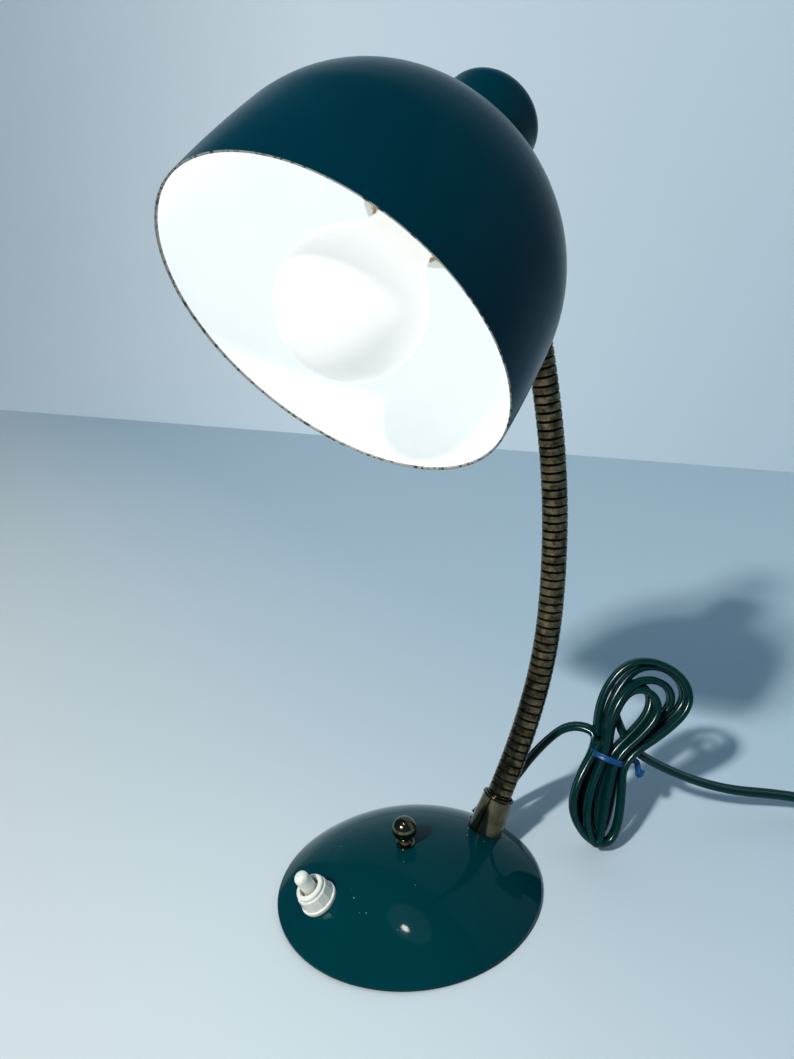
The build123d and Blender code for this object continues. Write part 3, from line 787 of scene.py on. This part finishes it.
# %% Ferrule
foot_place, foot_axis = neck_station(0)
ferrule_rings = [(0.0092, -0.0040), (0.0089, 0.0010), (0.0078, 0.0182)]
ferrule_rings += arc_rings(0.0076, 0.0192, 0.0007, -60, 90, 6)
ferrule_rings += [(0.0066, 0.0198), (0.0064, 0.0190), (0.0064, 0.0080)]
ferrule = turned("neck_ferrule_cup", ferrule_rings, steps=72)
ferrule.data.materials.append(polished_brass)
stand(ferrule, foot_place, foot_axis)
smooth(ferrule, 35)
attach(ferrule, "base")
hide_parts("neck_ferrule")

# %% [markdown]
# A round brass nut closes the stud on top of the dome: a ball on a little stepped foot.

# %% Ball nut
ball_radius = 0.006
ball_height = dome_height + 0.0083
ball_rings = [(0.0047, dome_height - 0.0002), (0.0047, dome_height + 0.0007), (0.0037, dome_height + 0.0012),
              (0.0034, dome_height + 0.0028)]
ball_rings += arc_rings(0, ball_height, ball_radius, -58, 90, 20)
ball = turned("ball_nut_turned", ball_rings, steps=64)
ball.data.materials.append(polished_brass)
smooth(ball, 35)
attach(ball, "base")
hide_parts("ball_nut")

# %% [markdown]
# The push switch is white moulded plastic, a little yellowed: a ring nut with flats on a thin
# flange, and a round button that rises through it.

# %% Switch
switch_plastic, nodes, links, shader = new_material("switch_white_plastic")
place = nodes.new("ShaderNodeTexCoord")
grime = add_node(nodes, "ShaderNodeTexNoise", Scale=260, Detail=5)
tint = nodes.new("ShaderNodeMix")
tint.data_type = "RGBA"
tint.inputs["A"].default_value = (0.80, 0.80, 0.74, 1)
tint.inputs["B"].default_value = (0.62, 0.62, 0.55, 1)
links.new(place.outputs["Object"], grime.inputs["Vector"])
links.new(grime.outputs["Fac"], tint.inputs["Factor"])
links.new(tint.outputs["Result"], shader.inputs["Base Color"])
shader.inputs["Roughness"].default_value = 0.28

switch_y = -0.0468
switch_normal = Vector((0, switch_y, sqrt(sphere_radius**2 - switch_y**2))).normalized()
switch_place = Vector((0, switch_y, sphere_centre + sqrt(sphere_radius**2 - switch_y**2)))
flange_rings = [(0.0052, -0.0003), (0.0088, -0.0003), (0.0089, 0.0003), (0.0089, 0.0012), (0.0086, 0.0016),
                (0.0080, 0.0018)]
flange = turned("switch_flange", flange_rings, steps=64)
nut_rings = [(0.0079, 0.0014), (0.0083, 0.0019), (0.0077, 0.0074), (0.0073, 0.0079), (0.0066, 0.0080)]
nut = turned("switch_nut", nut_rings, steps=12)
collar_rings = [(0.0066, 0.0076), (0.0069, 0.0082), (0.0069, 0.0092), (0.0065, 0.0098), (0.0058, 0.0100),
                (0.0050, 0.0100), (0.0047, 0.0096), (0.0047, 0.0055)]
collar = turned("switch_collar", collar_rings, steps=64)
for part in (flange, nut, collar):
    part.data.materials.append(switch_plastic)
    stand(part, switch_place, switch_normal)
    smooth(part, 24)
    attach(part, "base")
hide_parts("switch_ring_nut")
button_rings = [(0.0025, 0.0030), (0.0025, 0.0050), (0.00425, 0.0050), (0.00425, 0.0066), (0.00345, 0.0066),
                (0.00345, 0.0160)] + arc_rings(0.0006, 0.0162, 0.00285, 0, 90, 10) + [(1e-6, 0.0191)]
button = turned("switch_button", button_rings, steps=48)
button.data.materials.append(switch_plastic)
stand(button, switch_place, switch_normal)
smooth(button, 40)
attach(button, "button")
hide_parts("switch_plunger")

# %% [markdown]
# Inside the switch a coil spring pushes the button back.

# %% Switch spring
spring_foot = switch_place - switch_normal * 0.0013
spring_side = Vector((1, 0, 0))
spring_across = switch_normal.cross(spring_side)
spring_points = []
spring_radius = 0.0035
spring_length = 0.0058
spring_turns = 4.6
steps_per_turn = 16
for step in range(int(spring_turns * steps_per_turn) + 1):
    angle = 2 * pi * step / steps_per_turn
    around = spring_side * cos(angle) + spring_across * sin(angle)
    climb = spring_length * step / (spring_turns * steps_per_turn)
    spring_points.append(spring_foot + around * spring_radius + switch_normal * climb)
spring_curve = nurbs_curve("spring_line", spring_points)
spring_curve.data.bevel_depth = 0.0003
spring_curve.data.bevel_resolution = 3
spring_curve.data.use_fill_caps = True
spring = bpy.data.objects.new("press_spring", mesh_of(spring_curve))
scene.collection.objects.link(spring)
bpy.data.objects.remove(spring_curve)
smooth(spring, 40)
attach(spring, "base")
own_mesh(spring)
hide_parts("switch_spring")
print("spring", len(spring_points), "points")

# %% [markdown]
# The bulb is lit. Frosted glass spreads the light, so the globe itself is the bright thing. Its glow
# is an emission value over a grey base, chosen for the picture; it is not a measured glass.

# %% Bulb
lit_glass, nodes, links, shader = new_material("lit_frosted_glass")
place = nodes.new("ShaderNodeTexCoord")
frost = add_node(nodes, "ShaderNodeTexNoise", Scale=150, Detail=3)
frost_range = nodes.new("ShaderNodeMapRange")
frost_range.inputs["To Min"].default_value = 0.25
frost_range.inputs["To Max"].default_value = 0.45
links.new(place.outputs["Object"], frost.inputs["Vector"])
links.new(frost.outputs["Fac"], frost_range.inputs["Value"])
links.new(frost_range.outputs["Result"], shader.inputs["Roughness"])
shader.inputs["Base Color"].default_value = (0.50, 0.52, 0.52, 1)
shader.inputs["Emission Color"].default_value = (1.0, 0.98, 0.93, 1)
shader.inputs["Emission Strength"].default_value = 0.42
globe_radius = 0.028
globe_height = 0.017
bulb_rings = arc_rings(0, globe_height, globe_radius, -90, 42, 30)
bulb_rings += [(0.0172, 0.0415), (0.0146, 0.0470), (0.0131, 0.0530), (0.0125, 0.0600), (0.0124, 0.0700)]
bulb = turned("bulb_globe", bulb_rings, steps=96)
bulb.data.materials.append(lit_glass)
stand(bulb, rim_centre, head_axis, head_side)
smooth(bulb, 60)
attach(bulb, "head")
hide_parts("bulb_glass", "bulb_neck")

# %% [markdown]
# Round the bulb's neck stands the lampholder: a tan ribbed tube inside a white skirt with six openings.
# Behind the openings lies a flat ring, painted orange and given a glow of its own though it is no lamp:
# painted light for the lit inside seen through them. One rib is modelled and copied round the mouth.

# %% Holder mouth
holder_rings = [(0.0142, 0.0640), (0.0142, 0.0602), (0.0148, 0.0598), (0.0160, 0.0598), (0.0165, 0.0602),
                (0.0165, 0.0700)]
holder = turned("holder_mouth", holder_rings + [(0.0142, 0.0700), (0.0142, 0.0640)], steps=72)
bpy.ops.object.select_all(action="DESELECT")
bpy.ops.mesh.primitive_cube_add(size=1, location=(0.0164, 0, 0.0632))
rib = bpy.context.object
rib.scale = (0.0014, 0.0016, 0.0052)
bpy.ops.object.transform_apply(location=True, rotation=True, scale=True)
ribs = []
rib_count = 28
for number in range(rib_count):
    copy = bpy.data.objects.new("rib", rib.data.copy())
    copy.rotation_euler = (0, 0, 2 * pi * number / rib_count)
    scene.collection.objects.link(copy)
    ribs.append(copy)
bpy.data.objects.remove(rib)
only(holder)
for copy in ribs:
    copy.select_set(True)
bpy.ops.object.join()
stand(holder, rim_centre, head_axis, head_side)
smooth(holder, 35)
# A flat ring, painted orange and glowing: painted light seen through the skirt's openings.
glow_ring_section = [(0.0168, 0.0668), (0.0230, 0.0668), (0.0230, 0.0674), (0.0168, 0.0674), (0.0168, 0.0668)]
glow_ring = turned("painted_glow_ring", glow_ring_section, steps=72)
stand(glow_ring, rim_centre, head_axis, head_side)
smooth(glow_ring, 35)
for part in (holder, glow_ring):
    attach(part, "head")

# %% [markdown]
# The strongest light comes out of the open mouth. A small disc light in front of the globe throws it
# on the foot and the table, and shows in the glossy enamel as the bulb's bright reflection.

# %% Bulb light
glow_data = bpy.data.lights.new("bulb_glow", "AREA")
glow_data.shape = "DISK"
glow_data.size = 0.024
glow_data.energy = 0.085
glow_data.color = (1.0, 0.97, 0.90)
glow = bpy.data.objects.new("bulb_glow", glow_data)
scene.collection.objects.link(glow)
glow.location = rim_centre - head_axis * 0.0125
glow.rotation_euler = head_axis.to_track_quat("Z", "Y").to_euler()
glow.visible_camera = False
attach(glow, "head")

# %% [markdown]
# Every CAD part that keeps its own shape still gets a finish of its own, even where it hides
# inside the foot or the neck.

# %% Finishes for the CAD parts
def simple_finish(name, colour, deep_colour, roughness, metallic, scale, bump_strength=0.1):
    material, nodes, links, shader = new_material(name)
    place = nodes.new("ShaderNodeTexCoord")
    grain = add_node(nodes, "ShaderNodeTexNoise", Scale=scale, Detail=5)
    mix = nodes.new("ShaderNodeMix")
    mix.data_type = "RGBA"
    mix.inputs["A"].default_value = colour
    mix.inputs["B"].default_value = deep_colour
    links.new(place.outputs["Object"], grain.inputs["Vector"])
    links.new(grain.outputs["Fac"], mix.inputs["Factor"])
    links.new(mix.outputs["Result"], shader.inputs["Base Color"])
    shader.inputs["Roughness"].default_value = roughness
    shader.inputs["Metallic"].default_value = metallic
    bump = nodes.new("ShaderNodeBump")
    bump.inputs["Strength"].default_value = bump_strength
    bump.inputs["Distance"].default_value = 0.0001
    links.new(grain.outputs["Fac"], bump.inputs["Height"])
    links.new(bump.outputs["Normal"], shader.inputs["Normal"])
    return material


zinc = simple_finish("zinc_steel", (0.50, 0.50, 0.48, 1), (0.38, 0.38, 0.37, 1), 0.35, 1.0, 150)
cast_iron = simple_finish("cast_iron", (0.05, 0.05, 0.05, 1), (0.02, 0.02, 0.02, 1), 0.8, 0.6, 400, 0.6)
felt = simple_finish("green_felt", (0.05, 0.09, 0.07, 1), (0.03, 0.05, 0.04, 1), 0.95, 0.0, 900, 0.8)
phenolic = simple_finish("brown_phenolic", (0.07, 0.03, 0.015, 1), (0.03, 0.012, 0.008, 1), 0.3, 0.0, 90)
sheath = simple_finish("grey_sheath", (0.55, 0.55, 0.52, 1), (0.42, 0.42, 0.40, 1), 0.5, 0.0, 120)
porcelain = simple_finish("porcelain", (0.86, 0.85, 0.81, 1), (0.78, 0.76, 0.71, 1), 0.15, 0.0, 60)
skirt_white = simple_finish("skirt_white", (0.85, 0.85, 0.80, 1), (0.72, 0.71, 0.66, 1), 0.3, 0.0, 120)
tan_glaze = simple_finish("tan_glaze", (0.46, 0.33, 0.16, 1), (0.32, 0.21, 0.09, 1), 0.35, 0.0, 220)
# Orange with a glow of its own: painted light, not a lamp.
painted_glow_finish = simple_finish("painted_orange_glow", (0.85, 0.30, 0.05, 1), (0.70, 0.20, 0.03, 1), 0.4, 0.0, 180)
painted_glow_finish.node_tree.nodes["Principled BSDF"].inputs["Emission Color"].default_value = (1.0, 0.36, 0.06, 1)
painted_glow_finish.node_tree.nodes["Principled BSDF"].inputs["Emission Strength"].default_value = 0.35
holder.data.materials.append(tan_glaze)
glow_ring.data.materials.append(painted_glow_finish)
tungsten = simple_finish("tungsten", (0.20, 0.19, 0.18, 1), (0.12, 0.11, 0.10, 1), 0.5, 1.0, 300)
cord_pvc = simple_finish("green_pvc", (0.0003, 0.034, 0.032, 1), (0.0002, 0.024, 0.024, 1),
                         0.22, 0.0, 90, 0.12)
cord_pvc.node_tree.nodes["Principled BSDF"].inputs["Specular IOR Level"].default_value = 0.4
tie_plastic = simple_finish("blue_tie", (0.002, 0.075, 0.21, 1), (0.002, 0.052, 0.15, 1), 0.35, 0.0, 300, 0.3)
spring.data.materials.append(zinc)
cord.data.materials.append(cord_pvc)
relief.data.materials.append(cord_pvc)
tie.data.materials.append(tie_plastic)
finish_of_slot = {"green_enamel": foot_enamel, "felt": felt, "zinc_steel": zinc, "cast_iron": cast_iron,
                  "brass": polished_brass, "white_plastic": switch_plastic, "switch_steel": zinc,
                  "brown_phenolic": phenolic, "aged_brass": band_brass, "flex_sheath": sheath,
                  "white_enamel_metal": skirt_white, "porcelain": porcelain, "bulb_glass": lit_glass,
                  "filament": tungsten, "bulb_cap_metal": zinc, "green_cord": cord_pvc,
                  "blue_tie": tie_plastic}
for entry in frame["record"]["subparts"]:
    node = frame["nodes"][entry["node"]]
    node.data.materials.clear()
    node.data.materials.append(finish_of_slot[entry["material_slot"]])
